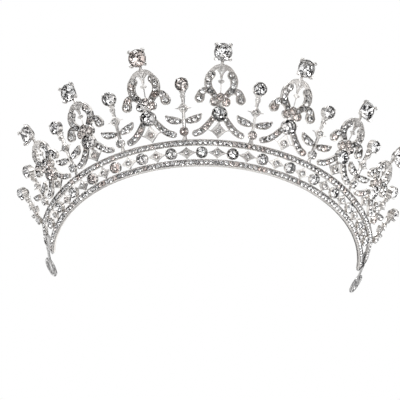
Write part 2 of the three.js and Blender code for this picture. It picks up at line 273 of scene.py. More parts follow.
def cupProfile(radius, front, wall, depth, foot=None, back=castBack):
    # Axis, seat, wall, softened lip, outer side down to the foot, back to the axis.
    foot = radius if foot is None else foot
    seat = front - depth
    return [(0, seat), (radius - wall, seat), (radius - wall, front - 0.08), (radius - wall * 0.5, front),
            (radius, front - 0.14), (radius, seat - 0.1), (foot, back + 0.1), (foot - 0.12, back), (0, back)]


def wire(points, radius, count=14, at=0.0, deep=1.0):
    # A round or oval bar along a smooth flat line: across times the cosine, out times the sine.
    line = smoothLine(points, count)
    r = along(np.atleast_1d(radius), count)
    sides = 8
    t = np.arange(sides) * 2 * math.pi / sides
    _, across = lineSides(line)
    flat = line[:, None] + across[:, None] * (np.cos(t)[None] * r[:, None])[..., None]
    out = at + np.sin(t)[None] * r[:, None] * deep
    ends = np.array([[*line[0], at], [*line[-1], at]])
    # an even share of painted shade over the whole wire
    return capped(np.concatenate([flat, out[..., None]], -1), ends, shade["wire"])


def facesOut(c):  # turns every face of a closed chunk if its volume comes out negative
    p = c["points"]
    tri = np.concatenate([c["quads"][:, :3], c["quads"][:, [0, 2, 3]], c["tris"]])
    volume = np.einsum("ij,ij->", p[tri[:, 0]], np.cross(p[tri[:, 1]], p[tri[:, 2]]))
    return c if volume >= 0 else {**c, "quads": c["quads"][:, ::-1], "tris": c["tris"][:, ::-1]}


def copies(template, seat, places, spin=0.0, tilt=0.0, size=1.0, tint=0.0):
    # Rigid copies: the template is turned about its axis, tipped, scaled and set on the cone's axes there.
    places = np.atleast_2d(np.asarray(places, float))
    n, p = len(places), template["points"]
    spin, size, tint = (np.broadcast_to(v, (n,)) for v in (spin, size, tint))
    tip = chance.normal(0, 1, (n, 2)) * tilt
    c, s = np.cos(spin), np.sin(spin)
    local = np.stack([p[None, :, 0] * c[:, None] - p[None, :, 1] * s[:, None],
                      p[None, :, 0] * s[:, None] + p[None, :, 1] * c[:, None],
                      np.broadcast_to(p[None, :, 2], (n, len(p)))], -1) * size[:, None, None]
    lean = local[..., 2] + local[..., 0] * tip[:, :1] + local[..., 1] * tip[:, 1:]
    local = np.stack([local[..., 0] - local[..., 2] * tip[:, :1],
                      local[..., 1] - local[..., 2] * tip[:, 1:], lean], -1)
    world = seat.points(places)[:, None, :] + np.einsum("nvk,nkx->nvx", local, seat.axes(places[:, 0]))
    shift = (np.arange(n) * len(p))[:, None, None]
    parts = template["parts"]
    if parts is not None:
        cut = len(template["quads"])
        parts = np.concatenate([np.tile(parts[:cut], n), np.tile(parts[cut:], n)])
    return chunk(world.reshape(-1, 3), (template["quads"][None] + shift).reshape(-1, 4),
                 (template["tris"][None] + shift).reshape(-1, 3), np.tile(template["recess"], n),
                 np.repeat(tint, len(p)), parts)


# Stones.

stoneCut = {"table": 0.56, "star": 0.79, "crown": 0.32, "girdle": 0.04, "low": 0.3, "pavilion": 0.6}


def brilliant(folds=8):
    # Rings round the axis: table, stars between, twice as many girdle points, lower points between, culet.
    half = math.pi / folds
    k = np.arange(folds)
    g = np.arange(2 * folds)
    cut = stoneCut
    top = cut["crown"] + cut["girdle"]
    share = (cut["star"] * math.cos(half) - cut["table"]) / (1 - cut["table"])
    starLevel = top - cut["crown"] * share  # keeps each kite flat
    lowLevel = -cut["pavilion"] * (1 - cut["low"] * math.cos(half))

    def ringAt(angles, radius, level):
        return np.stack([np.cos(angles) * radius, np.sin(angles) * radius, np.full(len(angles), level)], 1)

    points = np.vstack([
        ringAt(k * 2 * half, cut["table"], top), ringAt((k * 2 + 1) * half, cut["star"], starLevel),
        ringAt(g * half, 1.0, cut["girdle"]), ringAt(g * half, 1.0, 0.0),
        ringAt((k * 2 + 1) * half, cut["low"], lowLevel), [[0, 0, top], [0, 0, -cut["pavilion"]]]])
    table, star, girdle, foot, low = k, folds + k, 2 * folds, 4 * folds, 6 * folds + k
    crownPole, culet = 7 * folds, 7 * folds + 1
    k2, before = (k + 1) % folds, (k - 1) % folds
    even, odd, even2 = girdle + 2 * k, girdle + 2 * k + 1, girdle + 2 * k2
    kites = np.stack([table, folds + before, even, star], 1)
    belt = np.stack([girdle + g, foot + g, foot + (g + 1) % (2 * folds), girdle + (g + 1) % (2 * folds)], 1)
    mains = np.stack([np.full(folds, culet), low, foot + 2 * k, 6 * folds + before], 1)
    tris = np.concatenate([
        np.stack([np.full(folds, crownPole), table, k2], 1), np.stack([table, star, k2], 1),
        np.stack([star, even, odd], 1), np.stack([star, odd, even2], 1),
        np.stack([low, foot + 2 * k + 1, foot + 2 * k], 1),
        np.stack([low, foot + 2 * k2, foot + 2 * k + 1], 1)])
    quads = np.concatenate([kites, belt, mains])
    parts = np.concatenate([np.zeros(len(kites) + len(belt)), np.ones(len(mains)), np.zeros(4 * folds),
                            np.ones(2 * folds)])
    return facesOut(chunk(points, quads, tris, parts=parts))


def smallStone(folds=8):  # table and girdle rings half a step apart, with a pointed back
    half = math.pi / folds
    k = np.arange(folds)
    k2 = (k + 1) % folds
    top = 0.42
    points = np.vstack([
        np.stack([np.cos(k * 2 * half) * 0.55, np.sin(k * 2 * half) * 0.55, np.full(folds, top)], 1),
        np.stack([np.cos((k * 2 + 1) * half), np.sin((k * 2 + 1) * half), np.zeros(folds)], 1),
        [[0, 0, top], [0, 0, -0.5]]])
    tris = np.concatenate([
        np.stack([np.full(folds, 2 * folds), k, k2], 1), np.stack([k, folds + k, k2], 1),
        np.stack([k2, folds + k, folds + k2], 1),
        np.stack([np.full(folds, 2 * folds + 1), folds + k2, folds + k], 1)])
    parts = np.concatenate([np.zeros(3 * folds), np.ones(folds)])
    return facesOut(chunk(points, None, tris, parts=parts))


def beadShape():  # an icosahedron: three crossed golden rectangles
    q = (1 + 5**0.5) / 2
    p = np.array([[-1, q, 0], [1, q, 0], [-1, -q, 0], [1, -q, 0], [0, -1, q], [0, 1, q], [0, -1, -q],
                  [0, 1, -q], [q, 0, -1], [q, 0, 1], [-q, 0, -1], [-q, 0, 1]]) / math.hypot(1, q)
    t = [[0, 11, 5], [0, 5, 1], [0, 1, 7], [0, 7, 10], [0, 10, 11], [1, 5, 9], [5, 11, 4], [11, 10, 2],
         [10, 7, 6], [7, 1, 8], [3, 9, 4], [3, 4, 2], [3, 2, 6], [3, 6, 8], [3, 8, 9], [4, 9, 5], [2, 4, 11],
         [6, 2, 10], [8, 6, 7], [9, 8, 1]]
    return chunk(p, None, t)


fineStone, plainStone, bead = brilliant(), smallStone(), beadShape()


def setStones(shape, seat, places, size, tilt=0.05, tinted=0.12):  # stones with seeded spins, tips and tints
    places = np.atleast_2d(places)
    n = len(places)
    tint = np.where(chance.random(n) < tinted, chance.uniform(0.5, 1, n), chance.uniform(0, 0.2, n))
    return copies(shape, seat, places, chance.uniform(0, 2 * math.pi, n), tilt, size, tint)


def withOut(flat, out):  # flat places lifted to a height
    flat = np.atleast_2d(flat)
    return np.column_stack([flat, np.full(len(flat), out)])


def beadRow(seat, line, radius, out):  # beads that nearly touch
    return copies(bead, seat, withOut(spaced(line, radius * 2.15, radius, radius), out), size=radius)


# Materials: shared effects are groups, shaders stay in each material.

def nodeOf(tree, kind, inputs=None, **settings):
    node = tree.nodes.new(kind)
    for key, value in settings.items():
        setattr(node, key, value)
    for key, value in (inputs or {}).items():
        node.inputs[key].default_value = value
    return node


def metalGrainShadeGroup():
    # Fine casting grain and soft clouds of plating wear; painted shade gathers where the recess value is
    # high.
    group = bpy.data.node_groups.new("metalGrainShade", "ShaderNodeTree")
    sockets = [("Clean", "NodeSocketColor"), ("Wear and Shade", "NodeSocketColor"), ("Recess", "NodeSocketFloat"),
               ("Grain Scale", "NodeSocketFloat"), ("Roughness", "NodeSocketFloat")]
    for name, kind in sockets:
        group.interface.new_socket(name=name, in_out="INPUT", socket_type=kind)
    for name, kind in [("Color", "NodeSocketColor"), ("Roughness", "NodeSocketFloat"),
                       ("Height", "NodeSocketFloat")]:
        group.interface.new_socket(name=name, in_out="OUTPUT", socket_type=kind)
    made, link = group.nodes, group.links.new
    goesIn, goesOut = made.new("NodeGroupInput"), made.new("NodeGroupOutput")
    where = made.new("ShaderNodeTexCoord")
    grain = nodeOf(group, "ShaderNodeTexNoise", {"Detail": 3.0, "Roughness": 0.6})
    clouds = nodeOf(group, "ShaderNodeTexNoise", {"Scale": 160.0, "Detail": 2.0})
    wear = nodeOf(group, "ShaderNodeMapRange",
                  {"From Min": 0.42, "From Max": 0.7, "To Min": 0.0, "To Max": 0.3})
    # painted shade: the recess value darkens hollows towards the wear-and-shade colour
    recessShade = nodeOf(group, "ShaderNodeMath", {1: 0.7}, operation="MULTIPLY")
    both = nodeOf(group, "ShaderNodeMath", operation="ADD", use_clamp=True)
    mix = nodeOf(group, "ShaderNodeMix", data_type="RGBA")
    rougher = nodeOf(group, "ShaderNodeMapRange", {"To Min": -0.05, "To Max": 0.14})
    total = nodeOf(group, "ShaderNodeMath", operation="ADD", use_clamp=True)
    for noise in (grain, clouds):
        link(where.outputs["Object"], noise.inputs["Vector"])
    link(goesIn.outputs["Grain Scale"], grain.inputs["Scale"])
    link(clouds.outputs["Fac"], wear.inputs["Value"])
    link(goesIn.outputs["Recess"], recessShade.inputs[0])
    link(recessShade.outputs[0], both.inputs[0])
    link(wear.outputs["Result"], both.inputs[1])
    link(both.outputs[0], mix.inputs["Factor"])
    link(goesIn.outputs["Clean"], mix.inputs[6])
    link(goesIn.outputs["Wear and Shade"], mix.inputs[7])
    link(grain.outputs["Fac"], rougher.inputs["Value"])
    link(goesIn.outputs["Roughness"], total.inputs[0])
    link(rougher.outputs["Result"], total.inputs[1])
    link(mix.outputs[2], goesOut.inputs["Color"])
    link(total.outputs[0], goesOut.inputs["Roughness"])
    link(grain.outputs["Fac"], goesOut.inputs["Height"])
    return group


def stoneTintGroup():  # a faint warm tint on some stones, with a cloudy inside
    group = bpy.data.node_groups.new("stoneTint", "ShaderNodeTree")
    for name, kind in [("Clear", "NodeSocketColor"), ("Warm", "NodeSocketColor"),
                       ("Tint", "NodeSocketFloat")]:
        group.interface.new_socket(name=name, in_out="INPUT", socket_type=kind)
    group.interface.new_socket(name="Color", in_out="OUTPUT", socket_type="NodeSocketColor")
    made, link = group.nodes, group.links.new
    goesIn, goesOut = made.new("NodeGroupInput"), made.new("NodeGroupOutput")
    where = made.new("ShaderNodeTexCoord")
    cloud = nodeOf(group, "ShaderNodeTexNoise", {"Scale": 700.0, "Detail": 2.0})
    soften = nodeOf(group, "ShaderNodeMapRange", {"To Min": 0.6, "To Max": 1.0})
    share = nodeOf(group, "ShaderNodeMath", operation="MULTIPLY", use_clamp=True)
    mix = nodeOf(group, "ShaderNodeMix", data_type="RGBA")
    link(where.outputs["Object"], cloud.inputs["Vector"])
    link(cloud.outputs["Fac"], soften.inputs["Value"])
    link(soften.outputs["Result"], share.inputs[0])
    link(goesIn.outputs["Tint"], share.inputs[1])
    link(share.outputs[0], mix.inputs["Factor"])
    link(goesIn.outputs["Clear"], mix.inputs[6])
    link(goesIn.outputs["Warm"], mix.inputs[7])
    link(mix.outputs[2], goesOut.inputs["Color"])
    return group


metalGrainShade, stoneTint = metalGrainShadeGroup(), stoneTintGroup()


def newMaterial(name):
    material = bpy.data.materials.new(name)
    material.use_nodes = True
    tree = material.node_tree
    return material, tree, tree.nodes["Principled BSDF"]


def metalMaterial(name, clean, wearAndShade, roughness, grainScale, bumpStrength):
    material, tree, shader = newMaterial(name)
    link = tree.links.new
    shader.inputs["Metallic"].default_value = 1.0
    # the recess attribute drives painted shade in the metal's hollows
    recess = nodeOf(tree, "ShaderNodeAttribute", attribute_name="recess")
    look = nodeOf(tree, "ShaderNodeGroup", node_tree=metalGrainShade)
    look.inputs["Clean"].default_value = clean
    look.inputs["Wear and Shade"].default_value = wearAndShade
    look.inputs["Grain Scale"].default_value = grainScale
    look.inputs["Roughness"].default_value = roughness
    bump = nodeOf(tree, "ShaderNodeBump", {"Strength": bumpStrength, "Distance": 0.00006})
    link(recess.outputs["Fac"], look.inputs["Recess"])
    link(look.outputs["Color"], shader.inputs["Base Color"])
    link(look.outputs["Roughness"], shader.inputs["Roughness"])
    link(look.outputs["Height"], bump.inputs["Height"])
    link(bump.outputs["Normal"], shader.inputs["Normal"])
    return material


def stoneMaterial(name, clear, warm, glass):
    material, tree, shader = newMaterial(name)
    tint = nodeOf(tree, "ShaderNodeAttribute", attribute_name="tint")
    look = nodeOf(tree, "ShaderNodeGroup", node_tree=stoneTint)
    look.inputs["Clear"].default_value = clear
    look.inputs["Warm"].default_value = warm
    tree.links.new(tint.outputs["Fac"], look.inputs["Tint"])
    tree.links.new(look.outputs["Color"], shader.inputs["Base Color"])
    if glass:
        shader.inputs["Transmission Weight"].default_value = 1.0
        shader.inputs["IOR"].default_value = 1.58
        shader.inputs["Roughness"].default_value = 0.0
    else:
        shader.inputs["Metallic"].default_value = 1.0
        shader.inputs["Roughness"].default_value = 0.0
    return material


# in each: the clean colour, then the colour of plating wear and of painted shade in recesses
silver = metalMaterial("rhodiumPlate", (0.81, 0.79, 0.77, 1), (0.48, 0.45, 0.42, 1), 0.16, 5200, 0.5)
# band-end plating: the same plate with a darker base colour, painted shade on the eyes and end blocks
shadedPlainSilver = metalMaterial("polishedPlate", (0.52, 0.515, 0.51, 1), (0.24, 0.235, 0.23, 1), 0.22, 2600, 0.3)
crystal = stoneMaterial("clearCrystal", (0.98, 0.985, 0.99, 1), (0.95, 0.89, 0.86, 1), True)
foil = stoneMaterial("silverFoil", (0.80, 0.80, 0.80, 1), (0.82, 0.75, 0.72, 1), False)


# Objects.

creaseAngle = math.radians(35)


def makePiece(name, chunks, materials, nodes=(), smooth=False):
    made = joined(chunks)
    mesh = bpy.data.meshes.new(name)
    mesh.from_pydata((made["points"] * 0.001).tolist(), [], made["quads"].tolist() + made["tris"].tolist())
    for key in ("recess", "tint"):
        layer = mesh.attributes.new(key, "FLOAT", "POINT")
        layer.data.foreach_set("value", made[key].astype(np.float32))
    for material in materials:
        mesh.materials.append(material)
    if made["parts"] is not None:
        mesh.polygons.foreach_set("material_index", made["parts"].astype(np.int32))
    if smooth:
        mesh.shade_smooth()
        mesh.set_sharp_from_angle(angle=creaseAngle)
    mesh.validate()
    mesh.update()
    piece = bpy.data.objects.new(name, mesh)
    bpy.context.scene.collection.objects.link(piece)
    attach(piece, "root")
    if nodes:
        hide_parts(*nodes)


def metalPiece(name, chunks, nodes=(), material=None):
    makePiece(name, chunks, [material or silver], nodes, smooth=True)


def stonePiece(name, chunks, nodes=()):
    makePiece(name, chunks, [crystal, foil], nodes)


# The two rails: stone channels with beaded rims.

railStone = {"radius": 1.22, "pitch": 2.36, "girdle": 0.74, "depth": 0.85, "bead": 0.25, "rimBead": 0.18,
             "rim": 0.3, "edge": 0.15}


def railMesh(foot, height, flat, drop):
    # The channel section carried along the band, lowered by the closing drop, closed at both ends.
    rim, edge, floor = railStone["rim"], railStone["edge"], halfBand - railStone["depth"]
    a = flat * sinF
    front = [(0, halfBand - flat * cosF), (a, halfBand)] if flat else [(0, halfBand - edge), (edge, halfBand)]
    section = np.array([(0, edge - halfBand), *front, (rim + a, halfBand), (rim + a, floor),
                        (height - rim, floor), (height - rim, halfBand), (height - edge, halfBand),
                        (height, halfBand - edge), (height, edge - halfBand), (height - edge, -halfBand),
                        (edge, -halfBand)])[::-1]
    s = np.linspace(-band["halfLength"], band["halfLength"], 241)
    down = railDrop(s) if drop else np.zeros_like(s)
    n, rows = len(section), len(s)
    out = np.broadcast_to(section[None, :, 1], (rows, n))
    rings = np.stack([np.broadcast_to(s[:, None], (rows, n)), foot + section[None, :, 0] - down[:, None],
                      out], -1)
    middles = np.array([[s[k], foot + height / 2 - down[k], 0] for k in (0, -1)])
    out = np.append(out, [0, 0])
    # painted shade: full on the channel floor, and a share of it over the whole back of the rail
    recess = recessOf(out, halfBand, floor) * np.where(out > 0, 1, shade["railBack"])
    return seated(capped(rings, middles, recess), rolled)


def railRow(middle, pitch, spread=0.0, out=0.0, drop=False, half=False):
    # Evenly spaced places along the real arc at one height: the arc is longer than the lower edge.
    scale = 1 + middle * sinF / band["baseRadius"]
    count = int((2 * band["halfLength"] - 1.6) * scale / pitch)
    s = (np.arange(count) - (count - 1) / 2 + (0.5 if half else 0)) * pitch / scale
    s = s[np.abs(s) < band["halfLength"] - 0.6]
    up = middle + spread - (railDrop(s) if drop else 0)
    return np.stack([s, up + np.zeros_like(s), np.full(len(s), out)], 1)


def makeRail(name, foot, height, flat, drop):
    lift = flat * sinF
    middle, reach = foot + (height + lift) / 2, (height - lift) / 2
    stones = railRow(middle, railStone["pitch"], 0, railStone["girdle"], drop)
    metal = [railMesh(foot, height, flat, drop)]
    for side in (-1, 1):
        between = railRow(middle, railStone["pitch"], side * (reach - 0.5), 1.0, drop, True)
        metal.append(copies(bead, rolled, between, size=railStone["bead"]))
        edge = railRow(middle, 0.46, side * (reach - 0.24), halfBand, drop)
        metal.append(copies(bead, rolled, edge, size=railStone["rimBead"]))
    metalPiece(name, metal, [name])
    stonePiece(name + "_stones", [setStones(plainStone, rolled, stones, railStone["radius"], 0.1)])


makeRail("lower_rail", 0.0, band["lowerTop"], band["restFlat"], False)
makeRail("upper_rail", band["upperFoot"], band["upperTop"] - band["upperFoot"], 0.0, True)
print("rails made")

# The gallery: cups and star links.

gallery = {"links": 7, "pitch": 14.02, "middle": 6.75, "cup": 2.85, "front": 1.35, "stone": 2.68,
           "reach": 4.95, "tall": 2.95, "starStone": 1.1, "collet": 1.45}
clawTuck = 0.35  # share of a claw tip that lies inside the rim of its cup


def prongRing(seat, at, radius, front, count, size, start=0.0):
    # Claw tips round a stone: small beads that stand on its rim and lean in over its edge.
    a = start + np.arange(count) * 2 * math.pi / count
    reach = radius - clawTuck * size
    tips = np.stack([at[0] + np.cos(a) * reach, at[1] + np.sin(a) * reach], 1)
    return copies(bead, seat, withOut(tips, front), spin=a, size=size)


def makeGallery():
    g = gallery
    middle = g["middle"]
    places = [[k * g["pitch"], middle, 0] for k in range(-g["links"], g["links"] + 1)]
    rounds = [[(k + 0.5) * g["pitch"], middle, 0] for k in range(-g["links"] - 1, g["links"] + 1)]
    cup = turned(cupProfile(g["cup"], g["front"], 0.22, 1.9, g["cup"] * 0.75), 28)
    link = turned(plateProfile(0.5), 32, starReach(g["reach"], g["tall"], g["tall"], 0.78))
    collet = turned(cupProfile(g["collet"], 1.05, 0.28, 0.85, g["collet"], -0.2), 18)
    metal = [copies(cup, rolled, rounds), copies(link, rolled, places), copies(collet, rolled, places)]
    for s, _, _ in rounds:
        metal.append(prongRing(rolled, (s, middle), g["cup"] - 0.1, g["front"] + 0.12, 4, 0.4, math.pi / 4))
    metalPiece("gallery_strip", metal, ["gallery_strip"])
    lifted = [[s, h, g["front"] - 0.15] for s, h, _ in rounds]
    stonePiece("gallery_stones", [setStones(fineStone, rolled, lifted, g["stone"], 0.05)])
    small = [[s, h, 0.85] for s, h, _ in places]
    stonePiece("gallery_star_stones", [setStones(plainStone, rolled, small, g["starStone"])])


makeGallery()
print("gallery made")

# Motifs.

level = {"drop": 17.2, "round": 25.3, "trefoil": 31.2, "bead": 41.2, "archTop": 48.3}
motif = {"front": 0.75, "rim": 0.36, "roundCup": 3.8, "roundFront": 1.95, "roundStone": 3.6,
         "trefoilCup": 2.35, "trefoilStone": 2.02, "spread": 2.75, "rise": 2.0, "crownOffset": 6.4,
         "crownStone": 4.42,
         # plates: reach sideways, up and down, and hollow; collet: radius, front, wall, depth, foot, back
         "heartPlate": (3.0, 2.2, 2.9, 1.6), "beadPlate": (1.6, 0.75, 1.3, 1.5),
         "topPlate": (1.5, 2.4, 2.7, 1.25), "starReach": 3.9, "starBelow": 3.2,
         "starCollet": (1.6, 1.05, 0.28, 0.85, 1.6, -0.2)}
fleurLines = {
    "leg": [(2.6, 24.0), (4.2, 21.5), (6.2, 18.9), (8.5, 16.7), (10.9, 15.5)],
    "scroll": [(1.8, 33.0), (3.7, 35.3), (5.6, 37.6), (6.3, 40.2), (5.9, 42.6), (4.9, 44.2)],
    "volute": [(4.2, 35.6), (6.6, 36.5), (8.9, 35.6), (9.9, 32.6)],
    "arch": [(7.0, 38.2), (7.5, 40.4), (6.9, 42.6), (5.5, 45.1), (3.7, 47.2), (1.8, 48.2), (-0.1, 48.4)],
    "fork": [(0.25, 42.4), (0.45, 44.4), (1.3, 46.2), (2.7, 47.6)],
    "sideWire": [(1.9, 16.3), (3.4, 17.1), (5.4, 17.7), (7.6, 17.0)],
}
fleurWidths = {
    "leg": [2.7, 3.1, 3.3, 3.3, 3.3], "scroll": [2.8, 3.3, 3.6, 3.7, 4.0, 4.2],
    "volute": [2.7, 3.0, 3.6, 4.9], "arch": [0.9, 1.4, 1.9, 2.1, 2.1, 2.1], "fork": [0.6, 0.8, 1.1, 1.5],
}
# stones fill a strap up to its rims
paving = {"bead": 0.19, "rim": 0.28, "least": 0.45, "most": 1.55, "depth": 0.85}
fleurSection = channelSection(motif["front"], paving["depth"], motif["rim"])
archSection = bothSides([(0, castBack), (0, 0.42), (0.12, 0.55), (0.3, 0.55), (0.4, 0.4), (0.72, 0.4),
                         (0.82, 0.56)])


def shrinkOf(grade):  # a smaller casting's straps and stones lose half as much as its height
    return 0.5 + 0.5 * grade


def paved(seat, line, width, pitch, metal, stones, start, end=0.0, closed=(False, True)):
    # A channelled strap with a row of stones down its middle and beads all along its rims.
    metal.append(seated(strap(line, width, fleurSection, closed), seat))
    edges = strapGrid(line, width, [(-1, 0.18), (1, 0.18)], closed)
    for side in range(2):
        metal.append(beadRow(seat, edges[:, side], paving["bead"], motif["front"] + 0.02))
    spots = spaced(np.column_stack([line, width]), pitch, start, end)
    size = np.clip(spots[:, 2] / 2 - paving["rim"], paving["least"], paving["most"])
    stones.append(setStones(plainStone, seat, withOut(spots[:, :2], motif["front"] - 0.05), size, 0.1))


def makeMotif(label, station, index):
    seat = Seat(station)
    m, grade, wide = motif, grades[index], widths[index]
    foot = band["upperTop"] - float(railDrop(station)) + band["solderGap"]
    base = band["upperTop"] + band["solderGap"]

    def up(h):
        return foot + (h - base) * grade

    def drawn(name, side, count):
        line = np.array(fleurLines[name], float)
        line = np.stack([side * line[:, 0] * wide, up(line[:, 1])], 1)
        if name == "leg":
            line[:, 1] = np.maximum(line[:, 1], foot + 1.55)
        return smoothLine(line, count)

    metal, stones = [], []

    def add(shape):
        metal.append(seated(shape, seat))

    shrink = shrinkOf(grade)
    middle, heart, low, top = (up(level[k]) for k in ("round", "trefoil", "drop", "archTop"))
    for side in (-1, 1):
        for name, pitch, start in (("leg", 2.5, 1.4), ("scroll", 2.75, 1.6), ("volute", 2.9, 1.7)):
            paved(seat, drawn(name, side, 24), along(fleurWidths[name], 24) * shrink, pitch * shrink, metal,
                  stones, start)
        arch, width = drawn("arch", side, 28), along(fleurWidths["arch"], 28)
        add(strap(arch, width, archSection, (True, False)))
        for inset in (0.2, 0.98):
            edge = strapGrid(arch, width, [(1 if side < 0 else -1, inset)], (False, False))[:, 0]
            metal.append(beadRow(seat, edge[10:], 0.2, 0.52))
        forkSection = domedSection(0.35, 0.3, -0.45)
        add(strap(drawn("fork", side, 12), along(fleurWidths["fork"], 12), forkSection, (0, 0)))
        add(wire([(side * x * wide, up(h)) for x, h in fleurLines["sideWire"]], 0.32))
    # round setting
    cup = turned(cupProfile(m["roundCup"], m["roundFront"], 0.2, 2.5, m["roundCup"] * 0.7), 36)
    metal.append(copies(cup, seat, [[0, middle, 0]]))
    metal.append(prongRing(seat, (0, middle), m["roundCup"], m["roundFront"] + 0.15, 8, 0.5, math.pi / 8))
    # trefoil of three collets over a small plate
    small = turned(cupProfile(m["trefoilCup"], 1.3, 0.28, 1.25), 22)
    spots = [[0, heart + m["rise"], 0], [-m["spread"], heart, 0], [m["spread"], heart, 0]]
    metal.append(copies(small, seat, spots))
    add(turned(plateProfile(0.45), 20, starReach(*m["heartPlate"]), (0, heart)))
    # wire and bead in the arch
    add(wire([(0, heart + 2.5), (0, up(38)), (0, up(43.0))], 0.27))
    add(turned(plateProfile(0.6, 0.05, -0.4), 20, starReach(*m["beadPlate"]), (0, up(level["bead"]))))
    add(turned(plateProfile(0.5, 0.08), 20, starReach(*m["topPlate"]), (0, top)))
    # the star that hangs between the legs, with its collet
    hanging = starReach(m["starReach"], middle - low - m["starBelow"], low - foot - 0.1, 0.9)
    add(turned(plateProfile(0.5), 36, hanging, (0, low)))
    add(turned(cupProfile(*m["starCollet"]), 20, at=(0, low)))
    metalPiece(label + "_fleur_frame", metal, [label + "_fleur_frame"])
    raised = [[x, y, 1.0] for x, y, _ in spots]
    stones.append(setStones(plainStone, seat, raised, m["trefoilStone"], 0.06, 0.8))
    stones.append(setStones(plainStone, seat, [[0, low, 0.85]], 1.2))
    stonePiece(label + "_fleur_stones", stones)
    stone = setStones(fineStone, seat, [[0, middle, m["roundFront"] - 0.2]], m["roundStone"], 0.03)
    stonePiece(label + "_round_stone", [stone], [label + "_round_stone"])
    makeCrown(label, seat, top + m["crownOffset"])


claws = {"girdle": 2.91, "foot": 2.3, "spread": 4.75, "thick": 0.78, "over": 1.2, "basket": 4.0, "neck": 0.75}


def clawShape():
    # One claw: an oval bar carried from the foot of the basket, out past the girdle and over the stone.
    c = claws
    radial = smoothLine([(c["foot"] - 0.6, castBack + 0.4), (c["foot"] + 0.9, 0.5),
                         (c["spread"] + 0.1, c["girdle"] - 0.7), (c["spread"] + 0.45, c["girdle"] + 0.4),
                         (c["spread"] + 0.1, c["girdle"] + c["over"])], 14)
    sides, rows = 8, len(radial)
    t = np.arange(sides) * 2 * math.pi / sides
    _, across = lineSides(radial)
    size = c["thick"] * (0.75 + 0.45 * np.linspace(0, 1, rows) ** 2)
    ring = radial[:, None] + across[:, None] * (np.cos(t)[None] * size[:, None] * 0.8)[..., None]
    flat = np.stack([ring[..., 0], np.sin(t)[None] * size[:, None] * 1.1, ring[..., 1]], -1)
    ends = np.array([[radial[0, 0], 0, radial[0, 1]], [radial[-1, 0] - 0.2, 0, radial[-1, 1] + 0.3]])
    # an even share of painted shade over the claw
    return capped(flat, ends, shade["claw"])


def makeCrown(label, seat, crownUp):
    # A conical basket and four claws that lean out from its foot and close over the stone.
    c = claws
    basket = turned([(0, 0.1), (1.2, 0.2), (c["basket"] - 0.35, c["girdle"] - 0.2),
                     (c["basket"], c["girdle"] - 0.25), (c["basket"], c["girdle"] - 0.7),
                     (c["foot"], castBack + 0.5), (c["foot"] - 0.2, castBack), (0, castBack)], 32,
                     starReach(1, 1, 1, 4))
    spin = math.pi / 4 + np.arange(4) * math.pi / 2
    metal = [copies(basket, seat, [[0, crownUp, 0]]),
             copies(clawShape(), seat, [[0, crownUp, 0]] * 4, spin=spin),
             seated(wire([(0, crownUp - 5.1), (0, crownUp - 3.4), (0, crownUp - 1.2)],
                         [c["neck"], c["neck"], 1.5], 10, 0.1), seat)]
    metalPiece(label + "_claw_setting", metal, [label + "_claw_setting"])
    stone = setStones(fineStone, seat, [[0, crownUp, c["girdle"]]], motif["crownStone"], 0.03)
    stonePiece(label + "_crown_stone", [stone], [label + "_crown_stone"])


makeMotif("centre", 0.0, 0)
for word, side in (("left", -1), ("right", 1)):
    for i in range(1, 4):
        makeMotif(f"{word}_{i}", side * motifPlaces[i], i)
print("motifs made")

# Stems.

stem = {"leaf": 22.9, "star": 28.3, "link": 34.1, "top": 39.6, "bottom": 17.0, "base": 2.2, "cup": 3.35,
        "stone": 3.12, "front": 2.0, "grades": [1, 1, 1, 0.84, 0.8], "leaves": [1, 1, 1, 0.9, 0.6],
        "leans": [0, 0, 2, 5, 8], "wing": 4.2, "wingHollow": 0.62, "half": 2.9, "footWidth": 2.25,
        "starPlate": (2.5, 2.7, 2.7, 1.25), "linkPlate": (1.25, 1.9, 1.9, 1.6),
        "starCollet": (1.5, 1.15, 0.28, 0.85, 1.5, -0.1)}
leafLine = [(0.9, -0.9), (3.0, -0.7), (5.4, -0.2), (7.2, 0.7), (8.4, 1.9)]
leafWidth = [1.8, 3.4, 3.8, 3.1, 1.2]


def stemFoot(station, lean):  # clears the rail under the foot's front corner, which the lean lowers
    half = stem["footWidth"] / 2
    rail = band["upperTop"] - float(railDrop(abs(station) - half))
    return rail + band["solderGap"] + half * math.sin(math.radians(lean))


